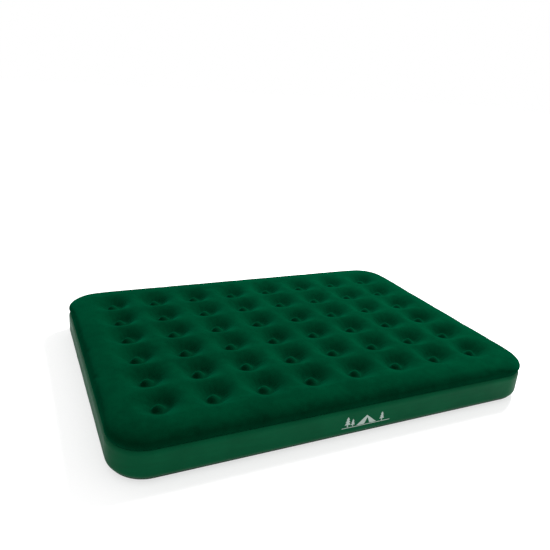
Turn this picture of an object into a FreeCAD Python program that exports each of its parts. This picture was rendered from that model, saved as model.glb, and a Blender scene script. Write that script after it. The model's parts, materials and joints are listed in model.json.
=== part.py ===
"""A double air bed: two welded sheets and a side wall round 48 coil beams, with a screw valve in one end.

Millimetres. The origin is under the middle of the bed, on the surface it lies on. +X runs along its length
and +Z up. The driving sizes are in the spreadsheet "Sizes", and every sub-part is bound to its cells.
"""

import FreeCAD, Part
import math
import os

import Sketcher

V = FreeCAD.Vector

# Driving sizes: alias, value in mm (or a count), what it is.
SIZES = [
    ("length", 1910, "overall length of the inflated bed"),
    ("width", 1370, "overall width"),
    ("height", 200, "height at the crown of the sleeping surface"),
    ("corner_radius", 148, "radius of the corners in plan"),
    ("sheet_gauge", 1, "thickness of the vinyl sheets"),
    ("hem_width", 8, "width of the flat weld where two sheets meet"),
    ("seam_height", 134, "height of the upper seam"),
    ("seam_depth", 9, "how far the upper seam is drawn in"),
    ("bulge_height", 154, "height at which the top sheet is widest"),
    ("edge_radius", 30, "radius of the top sheet just above its widest line"),
    ("shoulder_reach", 118, "from the outline in to the flat of the top"),
    ("wall_top", 116, "top of the upright stretch of the side wall"),
    ("wall_foot", 44, "foot of that stretch"),
    ("foot_seam_height", 18, "height of the lower seam"),
    ("foot_seam_depth", 14, "how far the lower seam is drawn in"),
    ("foot_reach", 50, "from the outline in to where the bottom lies flat"),
    ("columns", 8, "coil beams along the length"),
    ("rows", 6, "coil beams across the width"),
    ("end_margin", 208, "from an end to the first coil beam"),
    ("side_margin", 205, "from a side to the first coil beam"),
    ("weld_inner_radius", 27, "inside of a coil beam's ring weld"),
    ("weld_outer_radius", 38, "outside of that ring weld"),
    ("dimple_radius", 84, "where a dimple leaves the flat of the top"),
    ("dimple_depth", 44, "from the crown down to the ring weld"),
    ("button_rise", 9, "rise of the sheet inside a ring weld"),
    ("foot_dimple_radius", 66, "where a dimple leaves the flat of the bottom"),
    ("foot_dimple_depth", 26, "from the floor up to the lower ring weld"),
    ("weld_fillet", 12, "radius of a sheet as it leaves the ring weld"),
    ("coil_gauge", 1, "thickness of a coil beam's wall"),
    ("coil_flare", 5, "radius between a coil beam's barrel and its flange"),
    ("vent_radius", 7, "radius of the holes that let air into a coil beam"),
    ("vent_count", 3, "such holes round one coil beam"),
    ("valve_offset", 385, "from the middle of the end to the valve"),
    ("valve_height", 80, "height of the valve's axis"),
    ("flange_radius", 35, "outside of the welded valve flange"),
    ("flange_gauge", 1.6, "thickness of that flange"),
    ("collar_bore_radius", 22.5, "bore of the valve collar"),
    ("collar_wall", 3, "wall of the valve collar"),
    ("collar_depth", 12, "how far the collar goes in from the side wall"),
    ("rim_height", 3, "how far the collar stands out of the side wall"),
    ("wall_hole_clearance", 0.5, "between the collar and the hole in the side wall"),
    ("thread_clearance", 0.5, "between the collar and the screw-in plug"),
    ("ring_clearance", 0.3, "between the plug and the rings on it"),
    ("seal_gauge", 1.2, "thickness of the sealing ring"),
    ("seal_width", 3, "width of the sealing ring"),
    ("tether_gauge", 1.4, "thickness of the plug's tether"),
    ("tether_ring_width", 6, "width of the tether's ring"),
    ("tether_reach", 46, "from the valve's axis to the bend of the tether"),
    ("tether_width", 9, "width of the tether's strap"),
    ("tether_pad", 12, "length of the pad that holds the tether to the side wall"),
    ("plug_wall", 2, "wall of the screw-in plug"),
    ("plug_depth", 10, "how far the plug goes in from the side wall"),
    ("grip_gauge", 2.5, "thickness of the plug's grip flange"),
    ("grip_radius", 31, "outside of the grip flange"),
    ("notch_count", 12, "finger notches round the grip flange"),
    ("notch_radius", 3.2, "radius of a finger notch"),
    ("neck_bore_radius", 9, "bore that a pump's nozzle enters"),
    ("neck_wall", 2, "wall of the inflation neck"),
    ("neck_height", 6, "from the grip flange to the mouth of the neck"),
    ("flap_radius", 12, "radius of the one-way flap"),
    ("flap_gauge", 1, "thickness of the flap"),
    ("flap_travel", 3, "how far the flap can lift off its seat"),
    ("stem_radius", 1.8, "radius of the flap's stem"),
    ("stem_clearance", 0.1, "between the stem and its guide"),
    ("stem_overhang", 2, "how far the stem passes its guide when shut"),
    ("guide_gauge", 2, "thickness of the guide plate"),
    ("guide_inset", 0.4, "from the end of the plug to the guide plate"),
    ("guide_clearance", 0.05, "between the guide plate and the plug"),
    ("guide_port_radius", 4.6, "radius of an air port in the guide plate"),
    ("guide_port_circle", 11.4, "radius of the circle that the ports lie on"),
    ("guide_port_count", 6, "air ports in the guide plate"),
    ("spring_radius", 3.4, "mean radius of the flap's spring"),
    ("spring_wire_radius", 0.4, "radius of its wire"),
    ("spring_turns", 5, "turns of that spring"),
    ("cap_gauge", 1.8, "thickness of the inflation cap"),
    ("cap_clearance", 0.6, "between the cap's skirt and the neck"),
    ("skirt_wall", 1.6, "wall of the cap's skirt"),
    ("skirt_depth", 3.5, "depth of the cap's skirt"),
    ("lift_tab_reach", 5, "how far the cap's lift tab stands out"),
    ("lift_tab_width", 9, "width of the lift tab"),
    ("knuckle_reach", 17.5, "from the valve's axis to the cap's hinge"),
    ("knuckle_radius", 1.8, "radius of the cap's hinge knuckle"),
    ("knuckle_width", 8, "width of that knuckle"),
    ("pin_radius", 0.8, "radius of the hinge pin"),
    ("pin_clearance", 0.1, "between the pin and the knuckle"),
    ("ear_gauge", 2, "thickness of the ears that hold the pin"),
    ("ear_radius", 2.2, "radius of an ear round the pin"),
    ("ear_clearance", 0.2, "between the knuckle and an ear"),
]

# Sizes that follow from those, as expressions over them.
DERIVED = {
    "bulge_radius": "(seam_depth ^ 2 + (bulge_height - seam_height) ^ 2) / (2 * seam_depth)",
    "crown_rise": "height - bulge_height",
    "shoulder_radius": "(shoulder_reach ^ 2 + crown_rise ^ 2 - 2 * shoulder_reach * edge_radius)"
    " / (2 * (crown_rise - edge_radius))",
    "shoulder_lean": "(shoulder_reach - edge_radius) / (shoulder_radius - edge_radius)",
    "shoulder_lift": "(shoulder_radius - crown_rise) / (shoulder_radius - edge_radius)",
    "wall_top_radius": "(seam_depth ^ 2 + (seam_height - wall_top) ^ 2) / (2 * seam_depth)",
    "wall_foot_radius": "(foot_seam_depth ^ 2 + (wall_foot - foot_seam_height) ^ 2) / (2 * foot_seam_depth)",
    "foot_radius": "((foot_reach - foot_seam_depth) ^ 2 + foot_seam_height ^ 2) / (2 * foot_seam_height)",
    "first_column": "end_margin - length / 2",
    "first_row": "side_margin - width / 2",
    "column_span": "length - 2 * end_margin",
    "row_span": "width - 2 * side_margin",
    "button_radius": "(weld_inner_radius ^ 2 + button_rise ^ 2) / (2 * button_rise)",
    "coil_foot": "foot_dimple_depth + sheet_gauge",
    "coil_height": "height - dimple_depth - sheet_gauge - coil_foot",
    "collar_radius": "collar_bore_radius + collar_wall",
    "plug_radius": "collar_bore_radius - thread_clearance",
    "plug_bore_radius": "plug_radius - plug_wall",
    "ring_radius": "plug_radius + ring_clearance",
    "tether_level": "rim_height + seal_gauge",
    "seat_level": "tether_level + tether_gauge",
    "grip_level": "seat_level + grip_gauge",
    "neck_radius": "neck_bore_radius + neck_wall",
    "neck_level": "grip_level + neck_height",
    "skirt_bore_radius": "neck_radius + cap_clearance",
    "cap_radius": "skirt_bore_radius + skirt_wall",
    "knuckle_level": "neck_level - skirt_depth + knuckle_radius",
    "ear_offset": "knuckle_width / 2 + ear_clearance",
    "flap_level": "seat_level - flap_gauge",
    "guide_level": "guide_inset + guide_gauge - plug_depth",
}

PLANES = {"XY": "XY_Plane", "XZ": "XZ_Plane", "YZ": "YZ_Plane"}


class Shop:
    """The document, its sheet of sizes, and the few ways in which the pieces are drawn."""

    def __init__(self):
        self.doc = FreeCAD.newDocument("air_bed")
        self.sheet = self.doc.addObject("Spreadsheet::Sheet", "Sizes")
        self.aliases = {alias for alias, _, _ in SIZES}
        self.made = []
        for row, (alias, size, what) in enumerate(SIZES, start=1):
            self.sheet.set(f"A{row}", what)
            self.sheet.set(f"B{row}", str(size))
            self.sheet.setAlias(f"B{row}", alias)
        self.doc.recompute()

    def expand(self, expression, prefix="Sizes."):
        """The expression with each derived name written out and the prefix before each alias."""
        word, made = "", ""
        for letter in str(expression) + " ":
            if letter.isalnum() or letter == "_":
                word += letter
                continue
            if word in DERIVED:
                word = f"({self.expand(DERIVED[word], prefix)})"
            elif word in self.aliases:
                word = prefix + word
            made += word + letter
            word = ""
        return made.strip()

    def value(self, expression):
        """What an expression comes to, as a plain number."""
        found = self.sheet.evalExpression(self.expand(expression, prefix=""))
        return float(getattr(found, "Value", found))

    def count(self, expression):
        return int(round(self.value(expression)))

    def bind(self, thing, name, expression):
        """Ties one property of an object to an expression over the sheet."""
        thing.setExpression(name, self.expand(expression))

    # Sketches

    def sketch(self, body, name, plane, x="0", y="0", z="0"):
        """A new sketch on one of the body's own planes. Its origin is moved by x and y in the plane, and by z
        along the plane's normal, which is +Z for XY, -Y for XZ and +X for YZ."""
        made = body.newObject("Sketcher::SketchObject", name)
        made.AttachmentSupport = (self.datum(body, PLANES[plane]), [""])
        made.MapMode = "FlatFace"
        for axis, expression in (("x", x), ("y", y), ("z", z)):
            if expression != "0":
                self.bind(made, f"AttachmentOffset.Base.{axis}", expression)
        return made

    def datum(self, body, role):
        """The plane or axis of the body's origin that has this role."""
        return [feature for feature in body.Origin.OriginFeatures if feature.Role == role][0]

    def pin(self, sketch, geometry, end, x, y):
        """Fixes one end of a piece of geometry at (x, y)."""
        for kind, expression in (("DistanceX", x), ("DistanceY", y)):
            size = self.value(expression)
            number = sketch.addConstraint(Sketcher.Constraint(kind, -1, 1, geometry, end, size))
            self.bind(sketch, f"Constraints[{number}]", expression)

    def set_radius(self, sketch, geometry, radius):
        number = sketch.addConstraint(Sketcher.Constraint("Radius", geometry, self.value(radius)))
        self.bind(sketch, f"Constraints[{number}]", radius)

    def circle(self, sketch, x, y, radius):
        """A circle whose centre and radius follow the sheet."""
        centre = V(self.value(x), self.value(y), 0)
        drawn = sketch.addGeometry(Part.Circle(centre, V(0, 0, 1), self.value(radius)))
        self.pin(sketch, drawn, 3, x, y)
        self.set_radius(sketch, drawn, radius)

    def outline(self, sketch, steps):
        """A closed outline. Each step is (x, y) for a straight run to that point, or (x, y, radius, turn) for
        an arc to it, with turn +1 where the arc bends left and -1 where it bends right."""
        points = [V(self.value(step[0]), self.value(step[1]), 0) for step in steps]
        drawn = []
        for number, step in enumerate(steps):
            start, end = points[number - 1], points[number]
            if len(step) == 2:
                drawn.append((sketch.addGeometry(Part.LineSegment(start, end)), 1, 2))
            else:
                drawn.append(self.arc(sketch, start, end, step[2], step[3]))
        for number, (geometry, _, last) in enumerate(drawn):
            following, first, _ = drawn[(number + 1) % len(drawn)]
            sketch.addConstraint(Sketcher.Constraint("Coincident", geometry, last, following, first))
            self.pin(sketch, geometry, last, steps[number][0], steps[number][1])

    def arc(self, sketch, start, end, radius, turn):
        """An arc from start to end; returns its number and which of its ends is at start and at end."""
        size = self.value(radius)
        chord = end - start
        side = V(-chord.y, chord.x, 0).normalize() * turn
        centre = (start + end) * 0.5 + side * math.sqrt(max(size**2 - (chord.Length / 2) ** 2, 0))
        outwards = (start - centre) + (end - centre)
        if outwards.Length < 1e-6:
            outwards = -side
        halfway = centre + outwards.normalize() * size
        drawn = sketch.addGeometry(Part.Arc(start, halfway, end))
        self.set_radius(sketch, drawn, radius)
        forward = (sketch.getPoint(drawn, 1) - start).Length < (sketch.getPoint(drawn, 2) - start).Length
        return (drawn, 1, 2) if forward else (drawn, 2, 1)

    # Bodies and features

    def body(self, name):
        made = self.doc.addObject("PartDesign::Body", name)
        made.Label = name
        self.made.append(made)
        return made

    def place(self, body, x, y, z):
        for axis, expression in (("x", x), ("y", y), ("z", z)):
            self.bind(body, f"Placement.Base.{axis}", expression)

    def feature(self, body, kind, name, **settings):
        made = body.newObject("PartDesign::" + kind, name)
        for key, setting in settings.items():
            setattr(made, key, setting)
        return made

    def pad(self, body, name, sketch, length, **settings):
        made = self.feature(body, "Pad", name, Profile=sketch, **settings)
        self.bind(made, "Length", length)
        return made

    def revolve(self, body, name, sketch):
        """Turns a sketch all the way round its own vertical axis."""
        made = self.feature(body, "Revolution", name, Profile=sketch, Angle=360)
        made.ReferenceAxis = (sketch, ["V_Axis"])
        return made

    def cut(self, body, name, sketch, length=None, **settings):
        """Cuts a sketch through the body, or only this far, and makes sure that it took something away."""
        self.doc.recompute()
        before = body.Shape.Volume
        made = self.feature(body, "Pocket", name, Profile=sketch, **settings)
        if length:
            self.bind(made, "Length", length)
        else:
            made.Type = "ThroughAll"
        self.doc.recompute()
        if body.Shape.Volume > before - 1e-3:
            raise RuntimeError(f"{body.Label}: {name} cuts nothing")
        return made

    def around(self, body, name, originals, count):
        """Repeats features round the body's Z axis."""
        made = self.feature(body, "PolarPattern", name, Originals=originals, Angle=360)
        made.Axis = (self.datum(body, "Z_Axis"), [""])
        made.Occurrences = self.count(count)
        body.Tip = made
        return made


# Sheets and side wall


def inwards(depth):
    """The X of a point of the rim that lies this far inside the outline, on the bed's +X end."""
    return f"length / 2 - ({depth})"


def rounded_rectangle(shop, sketch, inset="0"):
    """The bed's outline in plan, moved in all round by inset."""
    x = f"(length / 2 - ({inset}))"
    y = f"(width / 2 - ({inset}))"
    straight_x = "(length / 2 - corner_radius)"
    straight_y = "(width / 2 - corner_radius)"
    radius = f"corner_radius - ({inset})"
    shop.outline(
        sketch,
        [
            (x, "0"),
            (x, straight_y),
            (straight_x, y, radius, 1),
            (f"-{straight_x}", y),
            (f"-{x}", straight_y, radius, 1),
            (f"-{x}", f"-{straight_y}"),
            (f"-{straight_x}", f"-{y}", radius, 1),
            (straight_x, f"-{y}"),
            (x, f"-{straight_y}", radius, 1),
        ],
    )


def sweep_rim(shop, body, steps):
    """Carries a closed profile once round the bed's outline."""
    spine = shop.sketch(body, body.Label + "_path", "XY")
    rounded_rectangle(shop, spine)
    profile = shop.sketch(body, body.Label + "_profile", "XZ")
    shop.outline(profile, steps)
    made = shop.feature(body, "AdditivePipe", body.Label + "_rim", Profile=profile, Spine=spine)
    made.Transition = "Transformed"
    return made


def hem_meeting(radius, rise):
    """How far in an offset arc of this radius meets a hem that is this far from the arc's level."""
    return f"({radius}) - sqrt((({radius}) - sheet_gauge) ^ 2 - (({rise}) - sheet_gauge) ^ 2)"


def shoulder_join(gauge):
    """Where the edge's arc and the shoulder's arc meet, this far under the outer surface."""
    radius = f"(shoulder_radius - ({gauge}))"
    depth = f"shoulder_reach - {radius} * shoulder_lean"
    level = f"height - shoulder_radius + {radius} * shoulder_lift"
    return inwards(depth), level


def make_top_sheet(shop):
    body = shop.body("top_sheet")
    hem = "seam_depth + hem_width"
    inner_hem = hem_meeting("bulge_radius", "bulge_height - seam_height")
    sweep_rim(
        shop,
        body,
        [
            (inwards(hem), "seam_height"),
            (inwards("seam_depth"), "seam_height"),
            (inwards("0"), "bulge_height", "bulge_radius", 1),
            (*shoulder_join("0"), "edge_radius", 1),
            (inwards("shoulder_reach"), "height", "shoulder_radius", 1),
            (inwards("shoulder_reach"), "height - sheet_gauge"),
            (*shoulder_join("sheet_gauge"), "shoulder_radius - sheet_gauge", -1),
            (inwards("sheet_gauge"), "bulge_height", "edge_radius - sheet_gauge", -1),
            (inwards(inner_hem), "seam_height + sheet_gauge", "bulge_radius - sheet_gauge", -1),
            (inwards(hem), "seam_height + sheet_gauge"),
        ],
    )
    flat = shop.sketch(body, "top_flat_outline", "XY", z="height - sheet_gauge")
    rounded_rectangle(shop, flat, "shoulder_reach")
    shop.pad(body, "top_flat", flat, "sheet_gauge")
    dimple_field(shop, body, "height", 1, "dimple_radius", "dimple_depth")


def make_bottom_sheet(shop):
    body = shop.body("bottom_sheet")
    hem = "foot_seam_depth + hem_width"
    inner_radius = "(foot_radius - sheet_gauge)"
    inner_rise = "(foot_radius - foot_seam_height + sheet_gauge)"
    inner_hem = f"foot_reach - sqrt({inner_radius} ^ 2 - {inner_rise} ^ 2)"
    sweep_rim(
        shop,
        body,
        [
            (inwards("foot_reach"), "0"),
            (inwards("foot_seam_depth"), "foot_seam_height", "foot_radius", 1),
            (inwards(hem), "foot_seam_height"),
            (inwards(hem), "foot_seam_height - sheet_gauge"),
            (inwards(inner_hem), "foot_seam_height - sheet_gauge"),
            (inwards("foot_reach"), "sheet_gauge", inner_radius, -1),
        ],
    )
    flat = shop.sketch(body, "bottom_flat_outline", "XY")
    rounded_rectangle(shop, flat, "foot_reach")
    shop.pad(body, "bottom_flat", flat, "sheet_gauge")
    dimple_field(shop, body, "0", -1, "foot_dimple_radius", "foot_dimple_depth")


def make_side_wall(shop):
    body = shop.body("side_wall")
    top_hem = "seam_depth + hem_width"
    foot_hem = "foot_seam_depth + hem_width"
    sweep_rim(
        shop,
        body,
        [
            (inwards(foot_hem), "foot_seam_height"),
            (inwards("foot_seam_depth"), "foot_seam_height"),
            (inwards("0"), "wall_foot", "wall_foot_radius", 1),
            (inwards("0"), "wall_top"),
            (inwards("seam_depth"), "seam_height", "wall_top_radius", 1),
            (inwards(top_hem), "seam_height"),
            (inwards(top_hem), "seam_height - sheet_gauge"),
            (inwards(hem_meeting("wall_top_radius", "seam_height - wall_top")), "seam_height - sheet_gauge"),
            (inwards("sheet_gauge"), "wall_top", "wall_top_radius - sheet_gauge", -1),
            (inwards("sheet_gauge"), "wall_foot"),
            (
                inwards(hem_meeting("wall_foot_radius", "wall_foot - foot_seam_height")),
                "foot_seam_height + sheet_gauge",
                "wall_foot_radius - sheet_gauge",
                -1,
            ),
            (inwards(foot_hem), "foot_seam_height + sheet_gauge"),
        ],
    )
    hole = shop.sketch(body, "valve_hole_outline", "YZ", z="length / 2 - corner_radius")
    shop.circle(hole, "valve_offset", "valve_height", "collar_radius + wall_hole_clearance")
    shop.cut(body, "valve_hole", hole, Reversed=True)


def dimple_field(shop, body, level, up, radius, depth):
    """Opens the sheet at the first coil beam, sets a dimple there, and repeats both over the grid."""
    hole = shop.sketch(body, body.Label + "_opening", "XY")
    shop.circle(hole, "first_column", "first_row", radius)
    opening = shop.cut(body, body.Label + "_openings", hole, Midplane=True)
    section = shop.sketch(body, body.Label + "_dimple_section", "XZ", x="first_column", z="-(first_row)")
    dimple_section(shop, section, level, up, radius, depth)
    dimple = shop.revolve(body, body.Label + "_dimple", section)
    grid = shop.feature(body, "LinearPattern", body.Label + "_grid", Originals=[opening, dimple])
    grid.Direction = (shop.datum(body, "X_Axis"), [""])
    grid.Direction2 = (shop.datum(body, "Y_Axis"), [""])
    shop.bind(grid, "Length", "column_span")
    shop.bind(grid, "Length2", "row_span")
    grid.Occurrences = shop.count("columns")
    grid.Occurrences2 = shop.count("rows")
    body.Tip = grid


def dimple_section(shop, sketch, level, up, radius, depth):
    """Half of one dimple, from its axis out: the domed button, the flat ring weld, and an S of two arcs back
    to the flat of the sheet. up is 1 on the top sheet and -1 where the same shape hangs upside down."""
    run = f"({radius} - weld_outer_radius)"
    both = f"(({run} ^ 2 + ({depth}) ^ 2) / (2 * ({depth})))"
    brow = f"({both} - weld_fillet)"

    def at(below):
        return f"{level} - {up} * ({below})"

    def join(gauge):
        reach = f"({brow} - ({gauge}))"
        across = f"{radius} - {reach} * {run} / {both}"
        below = f"{brow} - {reach} * ({both} - ({depth})) / {both}"
        return across, at(below)

    under = f"({depth} + sheet_gauge)"
    inner_button = "(button_radius - sheet_gauge)"
    button_drop = "(button_radius - button_rise - sheet_gauge)"
    shop.outline(
        sketch,
        [
            ("0", at(f"{depth} - button_rise")),
            ("weld_inner_radius", at(depth), "button_radius", -up),
            ("weld_outer_radius", at(depth)),
            (*join("0"), "weld_fillet", up),
            (radius, at("0"), brow, -up),
            (radius, at("sheet_gauge")),
            (*join("sheet_gauge"), f"{brow} - sheet_gauge", up),
            ("weld_outer_radius", at(under), "weld_fillet + sheet_gauge", -up),
            (f"sqrt({inner_button} ^ 2 - {button_drop} ^ 2)", at(under)),
            ("0", at(f"{under} - button_rise"), inner_button, up),
        ],
    )


# Coil beams


def make_coil_beam(shop, name, column, row):
    """One tube of vinyl with a flange turned out at each end, which the ring welds hold, and its air holes."""
    body = shop.body(name)
    inside = "weld_inner_radius"
    outside = "weld_inner_radius + coil_gauge"
    flange = f"{outside} + coil_flare"
    bend = "coil_gauge + coil_flare"
    section = shop.sketch(body, name + "_section", "XZ")
    shop.outline(
        section,
        [
            ("weld_outer_radius", "0"),
            ("weld_outer_radius", "coil_gauge"),
            (flange, "coil_gauge"),
            (outside, bend, "coil_flare", -1),
            (outside, f"coil_height - ({bend})"),
            (flange, "coil_height - coil_gauge", "coil_flare", -1),
            ("weld_outer_radius", "coil_height - coil_gauge"),
            ("weld_outer_radius", "coil_height"),
            (flange, "coil_height"),
            (inside, f"coil_height - ({bend})", bend, 1),
            (inside, bend),
            (flange, "0", bend, 1),
        ],
    )
    shop.revolve(body, name + "_tube", section)
    hole = shop.sketch(body, name + "_vent_outline", "XZ")
    shop.circle(hole, "0", "coil_height / 2", "vent_radius")
    vent = shop.cut(body, name + "_vent", hole)
    shop.around(body, name + "_vents", [vent], "vent_count")
    x = f"first_column + {column} * column_span / (columns - 1)"
    y = f"first_row + {row} * row_span / (rows - 1)"
    shop.place(body, x, y, "coil_foot")


def make_coil_beams(shop):
    for row in range(shop.count("rows")):
        for column in range(shop.count("columns")):
            make_coil_beam(shop, f"coil_beam_{row + 1}_{column + 1}", column, row)


# The valve. Each of its pieces is drawn on its own Z axis, which points out of the bed, with 0 on the outside of
# the side wall. Its X then points down, and its Y along the bed's +Y.


def valve_body(shop, name):
    body = shop.body(name)
    body.Placement = FreeCAD.Placement(V(0, 0, 0), FreeCAD.Rotation(V(0, 1, 0), 90))
    shop.place(body, "length / 2", "valve_offset", "valve_height")
    return body


def turned(shop, name, steps):
    """A valve piece that is turned from an outline of (radius, level) steps."""
    body = valve_body(shop, name)
    section = shop.sketch(body, name + "_section", "XZ")
    shop.outline(section, steps)
    shop.revolve(body, name + "_turned", section)
    return body


def ring_section(inner, outer, low, high):
    return [(inner, low), (outer, low), (outer, high), (inner, high)]


def make_valve_flange(shop):
    """The welded flange and its threaded collar. The threads are left out of both this and the plug."""
    turned(
        shop,
        "valve_flange",
        [
            ("collar_bore_radius", "-collar_depth"),
            ("collar_radius", "-collar_depth"),
            ("collar_radius", "0"),
            ("flange_radius", "0"),
            ("flange_radius", "flange_gauge"),
            ("collar_radius", "flange_gauge"),
            ("collar_radius", "rim_height"),
            ("collar_bore_radius", "rim_height"),
        ],
    )


def make_valve_seal(shop):
    outer = "ring_radius + seal_width"
    turned(shop, "valve_seal", ring_section("ring_radius", outer, "rim_height", "tether_level"))


def make_plug_tether(shop):
    """The ring that turns on the plug, and the strap from it down to a pad on the side wall."""
    outer = "ring_radius + tether_ring_width"
    body = turned(shop, "plug_tether", ring_section("ring_radius", outer, "tether_level", "seat_level"))
    start = "ring_radius + tether_ring_width / 2"
    strap = shop.sketch(body, "tether_strap_outline", "YZ")
    shop.outline(
        strap,
        [
            (start, "tether_level"),
            ("tether_reach - tether_gauge", "tether_level"),
            ("tether_reach - tether_gauge", "0"),
            ("tether_reach + tether_pad", "0"),
            ("tether_reach + tether_pad", "tether_gauge"),
            ("tether_reach", "tether_gauge"),
            ("tether_reach", "seat_level"),
            (start, "seat_level"),
        ],
    )
    shop.pad(body, "tether_strap", strap, "tether_width", Midplane=True)


def make_valve_plug(shop):
    """The screw-in plug: a barrel, a grip flange with the flap's seat under it, the neck and the cap's hinge."""
    body = turned(
        shop,
        "valve_plug",
        [
            ("plug_bore_radius", "-plug_depth"),
            ("plug_radius", "-plug_depth"),
            ("plug_radius", "seat_level"),
            ("grip_radius", "seat_level"),
            ("grip_radius", "grip_level"),
            ("neck_radius", "grip_level"),
            ("neck_radius", "neck_level"),
            ("neck_bore_radius", "neck_level"),
            ("neck_bore_radius", "seat_level"),
            ("plug_bore_radius", "seat_level"),
        ],
    )
    notch = shop.sketch(body, "notch_outline", "XY")
    shop.circle(notch, "0", "grip_radius + notch_radius / 3", "notch_radius")
    cut = shop.cut(body, "notch", notch, Midplane=True)
    shop.around(body, "notches", [cut], "notch_count")
    add_plug_hinge(shop, body)


def add_plug_hinge(shop, body):
    """Two ears with a pin between them: one block, slotted, and then the pin."""
    near, far = "(ear_radius - knuckle_reach)", "(-ear_radius - knuckle_reach)"
    block = shop.sketch(body, "ear_outline", "XZ")
    shop.outline(
        block,
        [
            (far, "grip_level"),
            (near, "grip_level"),
            (near, "knuckle_level"),
            (far, "knuckle_level", "ear_radius", 1),
        ],
    )
    shop.pad(body, "ears", block, "2 * (ear_offset + ear_gauge)", Midplane=True)
    slot = shop.sketch(body, "ear_slot_outline", "XZ")
    top = "knuckle_level + 2 * ear_radius"
    shop.outline(
        slot,
        [
            (f"{far} - ear_radius / 2", "grip_level"),
            (f"{near} + ear_radius / 2", "grip_level"),
            (f"{near} + ear_radius / 2", top),
            (f"{far} - ear_radius / 2", top),
        ],
    )
    shop.cut(body, "ear_slot", slot, length="2 * ear_offset", Midplane=True)
    pin = shop.sketch(body, "pin_outline", "XZ")
    shop.circle(pin, "-knuckle_reach", "knuckle_level", "pin_radius")
    shop.pad(body, "hinge_pin", pin, "2 * ear_offset + ear_gauge", Midplane=True)


def make_flap_guide(shop):
    """The ported plate across the inner end of the plug, which the flap's stem slides in."""
    outer = "plug_bore_radius - guide_clearance"
    inner = "stem_radius + stem_clearance"
    body = turned(shop, "flap_guide", ring_section(inner, outer, "guide_inset - plug_depth", "guide_level"))
    port = shop.sketch(body, "port_outline", "XY")
    shop.circle(port, "guide_port_circle", "0", "guide_port_radius")
    cut = shop.cut(body, "port", port, Midplane=True)
    shop.around(body, "ports", [cut], "guide_port_count")


def make_check_flap(shop):
    end = "guide_inset - plug_depth - stem_overhang"
    turned(
        shop,
        "check_flap",
        [
            ("0", end),
            ("stem_radius", end),
            ("stem_radius", "flap_level"),
            ("flap_radius", "flap_level"),
            ("flap_radius", "seat_level"),
            ("0", "seat_level"),
        ],
    )


def make_flap_spring(shop):
    """The spring that shuts the flap, from the guide plate to the underside of the flap."""
    body = valve_body(shop, "flap_spring")
    wire = shop.sketch(body, "wire_outline", "XZ")
    shop.circle(wire, "spring_radius", "guide_level + spring_wire_radius", "spring_wire_radius")
    coil = shop.feature(body, "AdditiveHelix", "spring_coil", Profile=wire, Mode="height-turns-angle")
    coil.ReferenceAxis = (wire, ["V_Axis"])
    shop.bind(coil, "Height", "flap_level - guide_level - 2 * spring_wire_radius")
    shop.bind(coil, "Turns", "spring_turns")


def make_inflation_cap(shop):
    """The cap over the neck, with its lift tab, and the knuckle that swings on the plug's pin."""
    skirt = "neck_level - skirt_depth"
    top = "neck_level + cap_gauge"
    body = turned(
        shop,
        "inflation_cap",
        [
            ("0", "neck_level"),
            ("skirt_bore_radius", "neck_level"),
            ("skirt_bore_radius", skirt),
            ("cap_radius", skirt),
            ("cap_radius", top),
            ("0", top),
        ],
    )
    tab = shop.sketch(body, "lift_tab_outline", "XZ")
    root, tip = "cap_radius - skirt_wall / 2", "cap_radius + lift_tab_reach"
    shop.outline(tab, [(root, "neck_level"), (tip, "neck_level"), (tip, top), (root, top)])
    shop.pad(body, "lift_tab", tab, "lift_tab_width", Midplane=True)
    arm = shop.sketch(body, "knuckle_arm_outline", "XZ")
    shop.outline(
        arm,
        [
            ("-knuckle_reach", "knuckle_level"),
            (f"-({root})", "knuckle_level"),
            (f"-({root})", top),
            ("-knuckle_reach", "knuckle_level + knuckle_radius"),
        ],
    )
    shop.pad(body, "knuckle_arm", arm, "knuckle_width", Midplane=True)
    knuckle = shop.sketch(body, "knuckle_outline", "XZ")
    shop.circle(knuckle, "-knuckle_reach", "knuckle_level", "knuckle_radius")
    shop.pad(body, "knuckle", knuckle, "knuckle_width", Midplane=True)
    bore = shop.sketch(body, "knuckle_bore_outline", "XZ")
    shop.circle(bore, "-knuckle_reach", "knuckle_level", "pin_radius + pin_clearance")
    shop.cut(body, "knuckle_bore", bore, Midplane=True)


def check(shop):
    """Stops if anything in the document failed, or a sub-part isn't one sound solid."""
    for thing in shop.doc.Objects:
        if "Invalid" in thing.State or "Error" in thing.State:
            raise RuntimeError(f"{thing.Label}: {thing.State}")
    for body in shop.made:
        shape = body.Shape
        if shape.isNull() or not shape.isValid() or len(shape.Solids) != 1:
            raise RuntimeError(f"{body.Label} is not one sound solid")


def export(shop):
    os.makedirs("parts", exist_ok=True)
    for body in shop.made:
        body.Shape.exportStep(f"parts/{body.Label}.step")
        box = body.Shape.optimalBoundingBox()
        print(f"{body.Label}: {box.XLength:.1f} x {box.YLength:.1f} x {box.ZLength:.1f} mm")


def main():
    shop = Shop()
    make_top_sheet(shop)
    make_bottom_sheet(shop)
    make_side_wall(shop)
    make_coil_beams(shop)
    make_valve_flange(shop)
    make_valve_seal(shop)
    make_plug_tether(shop)
    make_valve_plug(shop)
    make_flap_guide(shop)
    make_flap_spring(shop)
    make_check_flap(shop)
    make_inflation_cap(shop)
    shop.doc.recompute()
    check(shop)
    export(shop)


main()
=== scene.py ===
# %% [markdown]
# # An inflated air bed
#
# A double camping bed, blown up: a dark flocked top sheet drawn down into 48 dimples by coil beams, a smooth
# green side wall, a bottom sheet, and a screw valve in one end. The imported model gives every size, so this
# script first loads it and reads its boxes.

# %% Load the frame
import json
import math

import bpy
import numpy as np
from mathutils import Matrix, Vector


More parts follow.
